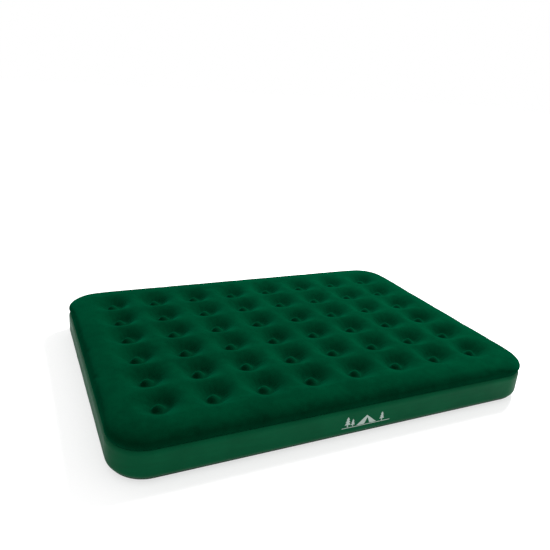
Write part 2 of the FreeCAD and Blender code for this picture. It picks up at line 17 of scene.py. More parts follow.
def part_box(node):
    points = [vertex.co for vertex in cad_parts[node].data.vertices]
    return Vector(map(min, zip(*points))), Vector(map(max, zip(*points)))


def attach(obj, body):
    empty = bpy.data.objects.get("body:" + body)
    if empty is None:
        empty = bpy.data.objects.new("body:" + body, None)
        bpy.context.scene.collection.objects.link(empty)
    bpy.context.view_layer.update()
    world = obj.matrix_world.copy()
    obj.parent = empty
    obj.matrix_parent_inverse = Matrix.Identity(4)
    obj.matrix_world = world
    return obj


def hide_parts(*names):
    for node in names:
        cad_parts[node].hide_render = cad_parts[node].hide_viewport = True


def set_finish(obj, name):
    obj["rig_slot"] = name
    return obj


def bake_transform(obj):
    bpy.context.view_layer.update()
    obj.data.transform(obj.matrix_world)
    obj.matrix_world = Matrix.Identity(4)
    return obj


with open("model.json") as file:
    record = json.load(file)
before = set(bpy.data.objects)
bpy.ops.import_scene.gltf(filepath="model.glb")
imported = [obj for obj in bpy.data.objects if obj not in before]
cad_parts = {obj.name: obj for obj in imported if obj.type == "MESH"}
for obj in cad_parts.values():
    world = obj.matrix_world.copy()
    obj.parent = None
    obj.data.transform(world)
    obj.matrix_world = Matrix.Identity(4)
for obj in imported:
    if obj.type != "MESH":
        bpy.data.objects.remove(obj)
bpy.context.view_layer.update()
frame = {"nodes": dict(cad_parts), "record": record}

# %% [markdown]
# ## Sizes
#
# The boxes of the top and the wall give the outline and the heights of the two seams. Each dimple sits on a
# coil beam, so the coil beams' boxes give the centres of the dimples and the heights of the ring welds.

# %% Read the sizes
MM = 0.001
ROWS, COLUMNS = 6, 8
CORNER_RADIUS = 148 * MM
SHEET_GAUGE = 1 * MM
WELD_WIDTH = 11 * MM
RNG = np.random.default_rng(7)


def box(node):
    """The two corners of a node's box, as rows of an array."""
    return np.array([list(corner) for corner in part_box(node)])


top_box, wall_box = box("top_sheet"), box("side_wall")
coil_box = box("coil_beam_1_1")
last_coil_box = box(f"coil_beam_{ROWS}_{COLUMNS}")

half = top_box[1, :2]
crown_z, seam_z, foot_z = top_box[1, 2], top_box[0, 2], wall_box[0, 2]
first_coil, last_coil = coil_box[:, :2].mean(axis=0), last_coil_box[:, :2].mean(axis=0)
pitch = (last_coil - first_coil) / (COLUMNS - 1, ROWS - 1)
weld_outer = (coil_box[1, 0] - coil_box[0, 0]) / 2
weld_inner = weld_outer - WELD_WIDTH
top_ring_z = coil_box[1, 2] + SHEET_GAUGE
base_ring_z = coil_box[0, 2] - SHEET_GAUGE
print("half size", half, "crown", crown_z, "seam", seam_z, "pitch", pitch, "rings", top_ring_z, base_ring_z)

# %% [markdown]
# ## Plan of a quilted sheet
#
# A grid that ignores the dimples would step across their round edges. So each dimple gets a square cell of
# the grid whose inner rings are true circles round the coil beam, and whose outer rings ease into the cell's
# straight border, where it meets its neighbours. The rim is a second grid, from the cells' outer border to
# the seam, whose lines follow the rounded outline.

# %% The cells of the quilt
CELL_STEPS = 18
RING_RADII = np.array([0, 10, 19, weld_inner / MM, weld_outer / MM, 50, 63, 77, 91, 106]) * MM


def smooth_step(q):
    """0 below 0, 1 above 1, and 3q^2 - 2q^3 between."""
    q = np.clip(q, 0, 1)
    return q * q * (3 - 2 * q)


def cell_plan(u, v):
    """Where the point (u, v) of a square from -1 to 1 goes, from the centre of its dimple. Its ring number is
    the larger of |u| and |v|. Inner rings are circles of RING_RADII, the last one is the cell's border."""
    ring = np.maximum(np.abs(u), np.abs(v))
    safe = np.where(ring == 0, 1, ring)
    along, wide = np.abs(u) >= np.abs(v), np.pi / 4
    x = np.where(along, np.sign(u) * np.cos(wide * v / safe), np.sin(wide * u / safe))
    y = np.where(along, np.sin(wide * v / safe), np.sign(v) * np.cos(wide * u / safe))
    step = ring * (CELL_STEPS // 2)
    radius = np.interp(step, np.arange(len(RING_RADII)), RING_RADII)
    last_circle = int(np.argmin(np.abs(RING_RADII - weld_outer)))
    ease = smooth_step((step - last_circle) / (len(RING_RADII) - 1 - last_circle))
    circle = np.stack([x, y], axis=-1) * radius[..., None]
    square = np.stack([u, v], axis=-1) * pitch / 2
    return circle * (1 - ease[..., None]) + square * ease[..., None]


def quilt_plan():
    """The X and Y of every point of the grid of cells, an array of (rows, columns, 2)."""
    across, up = np.arange(COLUMNS * CELL_STEPS + 1), np.arange(ROWS * CELL_STEPS + 1)
    column, row = np.minimum(across // CELL_STEPS, COLUMNS - 1), np.minimum(up // CELL_STEPS, ROWS - 1)
    u = (across - column * CELL_STEPS) / (CELL_STEPS / 2) - 1
    v = (up - row * CELL_STEPS) / (CELL_STEPS / 2) - 1
    u, v = np.meshgrid(u, v)
    centre = np.stack(np.meshgrid(column, row), axis=-1) * pitch + first_coil
    return centre + cell_plan(u, v)


plan = quilt_plan()
print("quilt plan", plan.shape, "from", plan[0, 0], "to", plan[-1, -1])

# %% The outline and the rim
RIM_SIDES = [((1, 0), (0, -1)), ((0, 1), (1, 0)), ((-1, 0), (0, 1)), ((0, -1), (-1, 0))]
BEND = CORNER_RADIUS * np.pi / 4
SIDE_PATHS = [2 * BEND + 2 * (half[side % 2] - CORNER_RADIUS) for side in range(4)]


def even_paths(steps_long, steps_short):
    """Distances along each of the four sides, at an even pace."""
    return [np.arange(n) / n * path for n, path in zip([steps_long, steps_short] * 2, SIDE_PATHS)]


def outline(paths):
    """Points round the bed's outline and their outward normals, at these distances along each side from the
    middle of its first corner. A bend of radius r is x = r sin a, y = r cos a. A straight is y = constant."""
    points, normals = [], []
    for path, (along, outwards) in zip(paths, RIM_SIDES):
        along, outwards = np.array(along), np.array(outwards)
        reach, side = np.abs(along) @ half, np.abs(outwards) @ half
        bend, straight = BEND, 2 * (reach - CORNER_RADIUS)
        angle = (np.maximum(path - bend - straight, 0) - np.maximum(bend - path, 0)) / CORNER_RADIUS
        shift = np.clip(path - bend, 0, straight) - straight / 2
        normal = np.outer(np.sin(angle), along) + np.outer(np.cos(angle), outwards)
        corner = np.outer(shift, along) + (side - CORNER_RADIUS) * outwards
        points.append(corner + normal * CORNER_RADIUS)
        normals.append(normal)
    return np.concatenate(points), np.concatenate(normals)


def depth_inside(xy):
    """How far inside the outline a point lies: the distance to a rectangle with rounded corners."""
    beyond = np.abs(xy) - (half - CORNER_RADIUS)
    outside = np.hypot(*np.moveaxis(np.maximum(beyond, 0), -1, 0))
    return CORNER_RADIUS - outside - np.minimum(beyond.max(axis=-1), 0)


def coil_distance(xy):
    """The distance from a point to the nearest coil beam's axis, its angle about it, and that coil beam."""
    place = np.clip(np.round((xy - first_coil) / pitch), 0, (COLUMNS - 1, ROWS - 1))
    offset = xy - (first_coil + place * pitch)
    return np.hypot(offset[..., 0], offset[..., 1]), np.arctan2(offset[..., 1], offset[..., 0]), place


rim_points, rim_normals = outline(even_paths(COLUMNS * CELL_STEPS, ROWS * CELL_STEPS))
print("outline", rim_points.shape, "spans", rim_points.min(axis=0), rim_points.max(axis=0))

# %% [markdown]
# ## The shape of a blown-up sheet
#
# Air pushes a sheet out between its welds, so a section from a ring weld up to the crown is steep at the weld
# and flat at the top. The shoulder from the seam in to the crown is a quarter of an ellipse. The small disc
# inside each ring weld is blown up too, into a button that stands up inside the dimple.

# %% Heights of the sheets
BUTTON_RISE = 24 * MM
DIMPLE_REACH = 106 * MM


def quarter_ellipse(q):
    """Rises from 0 at q = 0 to 1 at q = 1, upright at first and level at the end: sqrt(1 - (1 - q)^2)."""
    return np.sqrt(np.clip(1 - (1 - np.clip(q, 0, 1)) ** 2, 0, 1))


def quilted(flat, ring, reach, button, xy):
    """Height of a sheet that is level with flat away from its dimples and falls to ring at the ring welds. A
    dimple's side is a quarter of a sine wave out to reach, so it leaves the weld as a cone and ends level.
    The button inside is 1 - q^1.8."""
    distance, _, _ = coil_distance(xy)
    side = np.sin(np.pi / 2 * np.clip((distance - weld_outer) / (reach - weld_outer), 0, 1))
    dome = button * (1 - np.clip(distance / weld_inner, 0, 1) ** 1.8)
    return ring + (flat - ring) * side + np.sign(flat - ring) * dome


def arc(centre, radius, start, end, count):
    """Points on a circle from one angle to another, in degrees from +X."""
    angle = np.radians(np.linspace(start, end, count))
    return np.stack([centre[0] + radius * np.cos(angle), centre[1] + radius * np.sin(angle)], axis=-1)


probe = np.array([[first_coil[0] + r, first_coil[1]] for r in (0, weld_inner, weld_outer, 0.06, 0.09)])
print("dimple section", quilted(crown_z, top_ring_z, DIMPLE_REACH, BUTTON_RISE, probe).round(4))

# %% [markdown]
# ## From arrays to meshes
#
# A mesh could be made point by point, but a sheet has tens of thousands of points. So whole arrays go in at
# once, and come out again the same way when a shape has to be worked on.

# %% Put arrays into meshes


def grid_faces(rows, columns, first=0, closed=False):
    """The four corners of every cell of a grid of points, in turn. A closed grid joins its last column to its
    first."""
    wide = columns if closed else columns - 1
    row, column = np.meshgrid(np.arange(rows - 1), np.arange(wide), indexing="ij")
    beside = (column + 1) % columns
    corners = [row * columns + column, row * columns + beside]
    corners += [corners[1] + columns, corners[0] + columns]
    return first + np.stack(corners, axis=-1).reshape(-1, 4)


def new_piece(name, points, quads, extra_faces=()):
    """A smooth-shaded mesh object from an array of points, an array of quads and a few other faces."""
    mesh = bpy.data.meshes.new(name)
    faces = quads.tolist() + [list(face) for face in extra_faces]
    mesh.from_pydata(points.reshape(-1, 3).tolist(), [], faces)
    mesh.polygons.foreach_set("use_smooth", np.ones(len(faces), bool))
    mesh.update()
    piece = bpy.data.objects.new(name, mesh)
    bpy.context.collection.objects.link(piece)
    return piece


def read_points(mesh):
    """The mesh's points as an array of (count, 3)."""
    flat = np.empty(len(mesh.vertices) * 3, np.float32)
    mesh.vertices.foreach_get("co", flat)
    return flat.reshape(-1, 3).astype(float)


def write_points(mesh, points):
    """Moves the mesh's points to the rows of an array."""
    mesh.vertices.foreach_set("co", points.astype(np.float32).ravel())
    mesh.update()


def set_attribute(mesh, name, values):
    """Stores one number for each point, for a material to read."""
    layer = mesh.attributes.new(name, "FLOAT", "POINT")
    layer.data.foreach_set("value", np.asarray(values, np.float32))


def baked(piece):
    """The piece's mesh as its modifiers leave it, as a mesh of its own."""
    graph = bpy.context.evaluated_depsgraph_get()
    return bpy.data.meshes.new_from_object(piece.evaluated_get(graph))


def smooth_once(piece):
    """One applied level of Subdivision Surface."""
    modifier = piece.modifiers.new("smooth", "SUBSURF")
    modifier.levels = modifier.render_levels = 1
    fine = baked(piece)
    piece.modifiers.clear()
    piece.data = fine


print("a grid of 3 by 4 points has", len(grid_faces(3, 4)), "faces")

# %% [markdown]
# ## The flocked top
#
# The formula gives the shoulder and the dimples, built a little low. Blender's cloth solver then blows the
# sheet up: the ring welds and the seam are pinned, pressure pushes the rest, and gravity is off. That fills
# the ridges out by a few millimetres, unevenly, as air does. The solver needs a closed skin, so a lid across
# the seam closes it from below and is taken away afterwards. No point may move further than SWELL_CAP.

# %% The top's rim
BULGE_Z = 0.154
SEAM_DEPTH = 9 * MM
HEM_WIDTH = 8 * MM
TOP_REACH = 0.125
START_CROWN = crown_z - 5 * MM
TOP_EASE, BASE_EASE = 45 * MM, 55 * MM


def shoulder(depth):
    """Height of the shoulder this far inside the outline: a quarter ellipse, widest line to crown."""
    return BULGE_Z + (START_CROWN - BULGE_Z) * quarter_ellipse(depth / TOP_REACH)


def top_rim_profile():
    """(depth, height) from the hem out to the seam, round under the bulge, and in over the shoulder."""
    radius = (SEAM_DEPTH**2 + (BULGE_Z - seam_z) ** 2) / (2 * SEAM_DEPTH)
    low = -math.degrees(math.asin((BULGE_Z - seam_z) / radius))
    under = arc((-radius, BULGE_Z), radius, low, 0, 4) * (-1, 1)
    turn = np.radians(np.linspace(0, 90, 14))[1:-4]
    over = np.stack([TOP_REACH * (1 - np.cos(turn)), shoulder(TOP_REACH * (1 - np.cos(turn)))], axis=-1)
    hem = [[SEAM_DEPTH + HEM_WIDTH, seam_z]]
    return np.concatenate([hem, under, over])


print("top's rim", len(top_rim_profile()), "rings, shoulder from", BULGE_Z, "to", START_CROWN.round(4))

# %% Cells and rim as one sheet


def rim_grid(profile, inner_plan, ease_from, height):
    """Carries the profile round the outline: each point is outline - normal * depth. Past the depth ease_from
    the rings ease over to the border of the quilt, where the height comes from the formula."""
    depth = profile[:, 0][:, None, None]
    offset = rim_points[None] - rim_normals[None] * depth
    ease = smooth_step((depth - ease_from) / (profile[-1, 0] * 1.12 - ease_from))
    plan_xy = offset * (1 - ease) + inner_plan[None] * ease
    z = np.where(ease[..., 0] > 0, height(plan_xy), profile[:, 1][:, None])
    return np.concatenate([plan_xy, z[..., None]], axis=-1)


def border_loop(grid):
    """The outer loop of a grid of points, in the order of the outline."""
    return np.concatenate([grid[0, :-1], grid[:-1, -1], grid[-1, :0:-1], grid[:0:-1, 0]])


def quilt_mesh(name, height, profile, ease_from, lid=False, faces_down=False):
    """One quilted sheet: the cells in the middle, the rim round them, and if asked a lid across the hem."""
    cells = np.concatenate([plan, height(plan)[..., None]], axis=-1)
    numbers = np.arange(cells.shape[0] * cells.shape[1]).reshape(cells.shape[:2])
    loop = border_loop(numbers)
    rim = rim_grid(profile, border_loop(plan), ease_from, height)
    around = len(loop)
    first = numbers.size
    quads = [grid_faces(*numbers.shape), grid_faces(len(rim), around, first, closed=True)]
    last = first + (len(rim) - 1) * around + np.arange(around)
    quads.append(np.stack([last, np.roll(last, -1), np.roll(loop, -1), loop], axis=-1))
    quads = np.concatenate(quads)[:, ::-1] if faces_down else np.concatenate(quads)
    points = np.concatenate([cells.reshape(-1, 3), rim.reshape(-1, 3)])
    lids = [range(first + around - 1, first - 1, -1)] if lid else []
    return new_piece(name, points, quads, lids)


def top_height(xy):
    """Height of the top: the shoulder, with a dimple drawn down at each coil beam."""
    flat = shoulder(depth_inside(xy))
    return quilted(flat, np.minimum(top_ring_z, flat), DIMPLE_REACH, BUTTON_RISE, xy)


print("the quilt meets the rim in", len(border_loop(plan)), "points")


# %% Air
SWELL_CAP = 7 * MM
PRESSURE = 4.0
FRAMES = 20


def pin(piece, held):
    """A vertex group over the points that may not move."""
    group = piece.vertex_groups.new(name="held")
    group.add(np.flatnonzero(held).tolist(), 1.0, "REPLACE")
    return group.name


def blow_up(piece, held, cap):
    """Runs the cloth solver on a closed skin and keeps the result. A point that the solver moves by d goes
    cap * tanh(d / cap) that way, so none goes beyond cap. Returns the furthest that the solver moved one."""
    start = read_points(piece.data)
    cloth = piece.modifiers.new("air", "CLOTH")
    settings = cloth.settings
    settings.quality = 6
    settings.mass = 0.2
    settings.tension_stiffness = settings.compression_stiffness = 18
    settings.shear_stiffness = 8
    settings.bending_stiffness = 3
    settings.shrink_min = -0.004
    settings.vertex_group_mass = pin(piece, held)
    settings.use_pressure = True
    settings.uniform_pressure_force = PRESSURE
    settings.effector_weights.gravity = 0
    cloth.point_cache.frame_end = FRAMES
    for number in range(1, FRAMES + 1):
        bpy.context.scene.frame_set(number)
    blown = read_points(baked(piece))
    piece.modifiers.clear()
    move = blown - start
    far = np.linalg.norm(move, axis=1, keepdims=True)
    capped = move * (cap * np.tanh(far / cap) / np.maximum(far, 1e-9))
    write_points(piece.data, start + capped)
    return far.max()


def drop_lid(piece):
    """Takes away the face that closed the skin: the only one with more than four corners."""
    sizes = np.empty(len(piece.data.polygons), int)
    piece.data.polygons.foreach_get("loop_total", sizes)
    faces = [list(face.vertices) for face, size in zip(piece.data.polygons, sizes) if size <= 4]
    mesh = bpy.data.meshes.new(piece.name)
    mesh.from_pydata(read_points(piece.data).tolist(), [], faces)
    mesh.polygons.foreach_set("use_smooth", np.ones(len(faces), bool))
    mesh.update()
    piece.data = mesh


print("air for", FRAMES, "frames at pressure", PRESSURE)

# %% Blow the top up
top = quilt_mesh("flocked_top", top_height, top_rim_profile(), TOP_EASE, lid=True)
built_points = read_points(top.data)
distance, _, _ = coil_distance(built_points[:, :2])
on_ring = (distance > weld_inner - 1 * MM) & (distance < weld_outer + 1 * MM)
on_seam = built_points[:, 2] < seam_z + 1 * MM
print("top mesh", len(built_points), "points,", on_ring.sum(), "on rings,", on_seam.sum(), "on the seam")
print("the solver moved a point by", blow_up(top, on_ring | on_seam, SWELL_CAP), "before the cap")
drop_lid(top)
smooth_once(top)
top_points = read_points(top.data)
print("top", len(top.data.polygons), "faces, highest", top_points[:, 2].max(), "cad", crown_z)


# %% [markdown]
# The vinyl puckers where it leaves a ring weld, because the sheet is gathered there into a smaller circle
# than it was cut to. Each dimple gets 13 to 17 small folds that run out and fade. The crushed flock on the
# ring weld is stored as an attribute for the material.

# %% Puckers and ring welds
PUCKER = 0.5 * MM


def fade(distance, start, end):
    """1 up to start, 0 past end, smooth between."""
    return 1 - smooth_step((distance - start) / (end - start))


def pucker(xy, reach, height):
    """Folds round each coil beam: height * sin(n * angle + phase), n and phase drawn for each, fading out."""
    distance, angle, place = coil_distance(xy)
    folds = RNG.integers(13, 18, (COLUMNS, ROWS))
    phases = RNG.uniform(0, 2 * np.pi, (COLUMNS, ROWS))
    index = tuple(np.moveaxis(place.astype(int), -1, 0))
    wave = np.sin(folds[index] * angle + phases[index]) + 0.4 * np.sin(5 * angle + 3 * phases[index])
    window = smooth_step((distance - weld_outer) / (9 * MM)) * fade(distance, weld_outer + 12 * MM, reach)
    return height * wave * window


def ring_weld(xy):
    """1 on a ring weld and 0 off it, with 2 mm of blend."""
    distance, _, _ = coil_distance(xy)
    middle, half_width = (weld_inner + weld_outer) / 2, (weld_outer - weld_inner) / 2
    return fade(np.abs(distance - middle), half_width - 1 * MM, half_width + 1 * MM)


top_points[:, 2] += pucker(top_points[:, :2], 80 * MM, PUCKER)
write_points(top.data, top_points)
set_attribute(top.data, "weld", ring_weld(top_points[:, :2]))
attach(top, "root")
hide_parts("top_sheet")
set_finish(top, "flocked_top")
print("top with puckers, highest", top_points[:, 2].max().round(4))

# %% [markdown]
# ## The bottom
#
# It is the same quilted sheet the other way up: flat where it lies on the ground, drawn up to the lower ring
# welds, and turned up round its edge to the foot seam. The ground keeps it flat, so it needs no air.

# %% Bottom sheet
FOOT_SEAM_DEPTH = 14 * MM
FOOT_REACH = 50 * MM
BASE_DIMPLE_REACH = 70 * MM
BASE_BUTTON = 4 * MM


def bottom_rim_profile():
    """(depth, height) from the hem out to the foot seam, then down and in to the ground."""
    q = 1 - np.cos(np.radians(np.linspace(0, 90, 9)))
    depth = FOOT_SEAM_DEPTH + (FOOT_REACH - FOOT_SEAM_DEPTH) * q
    turn_up = np.stack([depth, foot_z * (1 - quarter_ellipse(q))], axis=-1)
    hem = [[FOOT_SEAM_DEPTH + HEM_WIDTH, foot_z]]
    flat = [[62 * MM, 0], [76 * MM, 0]]
    return np.concatenate([hem, turn_up, flat])


def bottom_height(xy):
    """Height of the bottom: 0 on the ground, drawn up at each coil beam, with a button that hangs down."""
    return quilted(np.zeros(xy.shape[:-1]), base_ring_z, BASE_DIMPLE_REACH, BASE_BUTTON, xy)


base = quilt_mesh("bottom_sheet_piece", bottom_height, bottom_rim_profile(), BASE_EASE, faces_down=True)
base_points = read_points(base.data)
base_points[:, 2] += np.abs(pucker(base_points[:, :2], 60 * MM, PUCKER))
write_points(base.data, base_points)
set_attribute(base.data, "weld", ring_weld(base_points[:, :2]))
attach(base, "root")
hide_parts("bottom_sheet")
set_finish(base, "base_vinyl")
print("bottom", len(base.data.polygons), "faces, lowest", base_points[:, 2].min().round(5))

# %% [markdown]
# ## The side wall
#
# One band of vinyl goes all the way round. It is drawn in at both seams, where it gathers into short puckers,
# and its upright part has slow, shallow waves. Round the valve it is flat, with a hole for the collar. The
# grid's lines close up there, and the rings of squares round the valve ease into circles.

# %% The wall's section and grid
WALL_TOP, WALL_FOOT = 116 * MM, 44 * MM
VALVE_CELL = 4.5 * MM
VALVE_CELLS = 8
WALL_HOLE = 26 * MM
flange_box = box("valve_flange")
valve_axis = flange_box.mean(axis=0)
print("valve axis at y", valve_axis[1], "z", valve_axis[2])


def bend_between(straight_z, seam_depth, seam_height, count):
    """The arc from the straight stretch, which it leaves upright, to a seam this far in."""
    rise = abs(seam_height - straight_z)
    radius = (seam_depth**2 + rise**2) / (2 * seam_depth)
    turn = np.linspace(0, math.asin(rise / radius), count)
    z = straight_z + np.sign(seam_height - straight_z) * radius * np.sin(turn)
    return np.stack([radius * (1 - np.cos(turn)), z], axis=-1)


def wall_profile():
    """(depth, height) up the wall, from the inner edge of its lower hem to that of its upper hem."""
    low = bend_between(WALL_FOOT, FOOT_SEAM_DEPTH, foot_z, 10)[::-1]
    high = bend_between(WALL_TOP, SEAM_DEPTH, seam_z, 9)
    straight = np.linspace(WALL_FOOT, WALL_TOP, 2 * VALVE_CELLS + 1)[1:-1]
    straight = np.stack([np.zeros_like(straight), straight], axis=-1)
    hems = [[[FOOT_SEAM_DEPTH + HEM_WIDTH, foot_z + 0.2 * MM]], [[SEAM_DEPTH + HEM_WIDTH, seam_z - 0.2 * MM]]]
    return np.concatenate([hems[0], low, straight, high, hems[1]])


def wall_paths():
    """Distances along the sides, 9 mm apart, and VALVE_CELL apart beside the valve."""
    paths = even_paths(*[round(path / (9 * MM)) for path in SIDE_PATHS[:2]])
    middle = SIDE_PATHS[1] / 2 + valve_axis[1]
    reach = VALVE_CELLS * VALVE_CELL
    before = np.linspace(0, middle - reach, 94)[:-1]
    beside = middle + np.linspace(-reach, reach, 2 * VALVE_CELLS + 1)
    after = np.linspace(middle + reach, SIDE_PATHS[1], 31)[1:-1]
    paths[1] = np.concatenate([before, beside, after])
    return paths


side_paths = wall_paths()
wall_points, wall_normals = outline(side_paths)
wall_section = wall_profile()
print("wall grid", len(wall_section), "by", len(wall_points))

# %% Waves, gathers and the hole
WAVES = [(0.35, 0.31, 9, 0.3), (0.22, 0.12, 30, 2.1), (0.13, 0.067, -45, 4.0)]
GATHER_PITCH = 0.021
HOLE_RING = 5


def wall_waves(path, z):
    """How far the wall stands out, in metres. Slow sine waves, each (size in mm, length, tilt, phase), add up
    and fade out at both seams, and short gathers fade out away from them."""
    total = path[-1]
    waves = sum(
        size * np.sin(2 * np.pi * round(total / length) * path / total + tilt * z + phase)
        for size, length, tilt, phase in WAVES
    )
    wander = 2.5 * np.sin(path * 3.1 / total * 40)
    gathers = np.sin(2 * np.pi * round(total / GATHER_PITCH) * path / total + wander)
    near_seam = np.exp(-(((seam_z - z) / (9 * MM)) ** 2)) + np.exp(-(((z - foot_z) / (9 * MM)) ** 2))
    upright = np.sin(np.pi * np.clip((z - foot_z) / (seam_z - foot_z), 0, 1))
    return (waves * upright + 0.3 * gathers * near_seam) * MM


def round_the_hole(y, z):
    """Moves the grid lines near the valve. The rings of squares up to HOLE_RING become circles, the last of
    radius WALL_HOLE, and those beyond ease back to squares by ring VALVE_CELLS."""
    dy, dz = y - valve_axis[1], z - valve_axis[2]
    ring = np.maximum(np.abs(dy), np.abs(dz)) / VALVE_CELL
    length = np.maximum(np.hypot(dy, dz), 1e-9)
    beyond = WALL_HOLE + (ring - HOLE_RING) * 3.3 * MM
    radius = np.where(ring > HOLE_RING, beyond, WALL_HOLE * ring / HOLE_RING)
    ease = fade(ring, HOLE_RING, VALVE_CELLS)
    return (
        y + (valve_axis[1] + dy / length * radius - y) * ease,
        z + (valve_axis[2] + dz / length * radius - z) * ease,
        ring,
    )


from_valve = np.abs(wall_points[:, 1] - valve_axis[1])
on_valve_end = wall_points[:, 0] > half[0] - 1 * MM
near_valve = on_valve_end & (from_valve < 0.12)
calm = np.where(on_valve_end, smooth_step((from_valve - 0.06) / 0.05), 1.0)
print("grid lines near the valve", near_valve.sum(), "and quite flat", (calm == 0).sum())

# %% Side wall
along_wall = np.concatenate([path + sum(SIDE_PATHS[:side]) for side, path in enumerate(side_paths)])
wall_z = np.repeat(wall_section[:, 1][:, None], len(along_wall), axis=1)
out = wall_waves(along_wall, wall_z) * calm - wall_section[:, 0][:, None]
wall_xy = wall_points[None] + wall_normals[None] * out[..., None]
wall_grid = np.concatenate([wall_xy, wall_z[..., None]], axis=-1)
y_moved, z_moved, ring = round_the_hole(wall_grid[..., 1], wall_grid[..., 2])
wall_grid[..., 1] = np.where(near_valve, y_moved, wall_grid[..., 1])
wall_grid[..., 2] = np.where(near_valve, z_moved, wall_grid[..., 2])
wall_quads = grid_faces(*wall_z.shape, closed=True)
in_hole = near_valve & (ring < HOLE_RING + 0.01)
wall_quads = wall_quads[~in_hole.ravel()[wall_quads].all(axis=1)]
wall = new_piece("side_wall_piece", wall_grid, wall_quads)
thickness = wall.modifiers.new("vinyl", "SOLIDIFY")
thickness.thickness = SHEET_GAUGE
thickness.offset = -1
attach(wall, "root")
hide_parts("side_wall")
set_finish(wall, "wall_vinyl")
print("wall", len(wall_quads), "faces, hole of radius", WALL_HOLE, "m")

# %% [markdown]
# ## The valve
#
# Its parts come from the frame. Three things want more than that. The plug's tether is a soft strap and the
# flap's spring a coil of wire, each swept here in one shape, and the screw threads were left plain. All three
# are a section carried along a path, so one function sweeps them.

# %% Tubes and sweeps


def skin(path, sides, frames, closed=False):
    """A section carried along a path: point (i, j) is path_i + a_j * first_i + b_j * second_i. frames holds
    the two directions at each place, and sides the (a, b) of the section. Open ends get a cap."""
    first, second = frames
    grid = path[:, None] + sides[None, :, :1] * first[:, None] + sides[None, :, 1:] * second[:, None]
    count, around = grid.shape[:2]
    quads = grid_faces(count + closed, around, closed=True) % (count * around)
    ends = [] if closed else [np.arange(around)[::-1], np.arange(around) + (count - 1) * around]
    return grid.reshape(-1, 3), quads, ends


def from_skins(name, *skins):
    """One piece from several skins."""
    firsts = np.cumsum([0] + [len(skin_points) for skin_points, _, _ in skins])
    return new_piece(
        name,
        np.concatenate([skin_points for skin_points, _, _ in skins]),
        np.concatenate([quads + first for (_, quads, _), first in zip(skins, firsts)]),
        [end + first for (_, _, ends), first in zip(skins, firsts) for end in ends],
    )


def circle_section(radius, count):
    """Points evenly round a circle: radius * (cos t, sin t)."""
    turn = np.arange(count) / count * 2 * np.pi
    return radius * np.stack([np.cos(turn), np.sin(turn)], axis=-1)


def helix(radius, lead, turns, start, per_turn, taper=0.0):
    """A helix about the valve's axis that goes forward by lead in each turn, with directions out from the
    axis and along it. Its radius changes by taper over the first and last eighth of a turn."""
    turn = np.linspace(0, turns, round(turns * per_turn) + 1)
    angle = 2 * np.pi * turn
    outwards = np.stack([np.zeros_like(angle), np.cos(angle), np.sin(angle)], axis=-1)
    along = np.tile([1.0, 0, 0], (len(angle), 1))
    thin = taper * (1 - np.minimum(smooth_step(turn * 8), smooth_step((turns - turn) * 8)))
    centre = np.array([start, valve_axis[1], valve_axis[2]])
    return centre + along * (lead * turn)[:, None] + outwards * (radius + thin)[:, None], (outwards, along)


print("a wire's section of 4 points", circle_section(1, 4).round(2).tolist())

# %% Spring of the flap
spring_box = box("flap_spring")
WIRE, COILS, SPRING_RADIUS = 0.4 * MM, 5, 3.4 * MM
spring_length = spring_box[1, 0] - spring_box[0, 0] - 2 * WIRE
spring_ends = [(x, *valve_axis[1:]) for x in (spring_box[0, 0] + WIRE, spring_box[1, 0] - WIRE)]
spring_path, spring_frames = helix(SPRING_RADIUS, spring_length / COILS, COILS, spring_ends[0][0], 28)
spring = from_skins("flap_spring_piece", skin(spring_path, circle_section(WIRE, 10), spring_frames))
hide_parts("flap_spring")
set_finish(spring, "spring_steel")
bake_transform(spring)
print("spring", len(spring.data.polygons), "faces over", round(spring_length / MM, 2), "mm")

# %% [markdown]
# The plug's ridge and the collar's lie half a pitch apart on one helix, so they never meet at any turn. The
# record's coupling of travel to turn gives the pitch.

# %% Screw threads
THREAD_STEPS = 96
plug_box = box("valve_plug")
turn_ratio = next(coupling["ratio"] for coupling in frame["record"]["behaviour"]["couplings"])
thread_pitch = turn_ratio * 2 * math.pi
thread_start = plug_box[0, 0] + 8.4 * MM
ridge = np.array([[-0.3, -0.9], [0.32, -0.35], [0.32, 0.35], [-0.3, 0.9]]) * MM
plug_path, plug_frames = helix(22 * MM, -thread_pitch, 0.72, thread_start, THREAD_STEPS, taper=-0.35 * MM)
plug_thread = from_skins("plug_thread", skin(plug_path, ridge[::-1], plug_frames))
collar_start = thread_start + thread_pitch / 2 - 1.5 * MM
collar_path, collar_frames = helix(22.5 * MM, -thread_pitch, 0.8, collar_start, THREAD_STEPS, taper=0.35 * MM)
collar_thread = from_skins("collar_thread", skin(collar_path, ridge * (-1, 1), collar_frames))
for piece, body, slot in ((plug_thread, "plug", "valve_plastic"), (collar_thread, "root", "valve_vinyl")):
    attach(piece, body)
    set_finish(piece, slot)
print("thread pitch", round(thread_pitch / MM, 2), "mm")

# %% [markdown]
# The tether is one soft moulding: a ring that the plug turns in, a strap with two thin places where it folds,
# and a pad welded to the side wall.

# %% Tether of the plug
tether_box = box("plug_tether")
TETHER_THICK = 1.4 * MM
TETHER_WIDTH = 9 * MM
RING_MIDDLE, RING_HALF, RING_STEPS = 25.3 * MM, 3 * MM, 96


def slab_section(half_wide, half_thick, count=24):
    """A rectangle with rounded edges: x = a * sign(c) |c|^(1/3), and the same for y with the sine."""
    turn = (np.arange(count) + 0.5) / count * 2 * np.pi
    round_trip = np.stack([np.cos(turn), np.sin(turn)], axis=-1)
    return (half_wide, half_thick) * np.sign(round_trip) * np.abs(round_trip) ** (1 / 3)


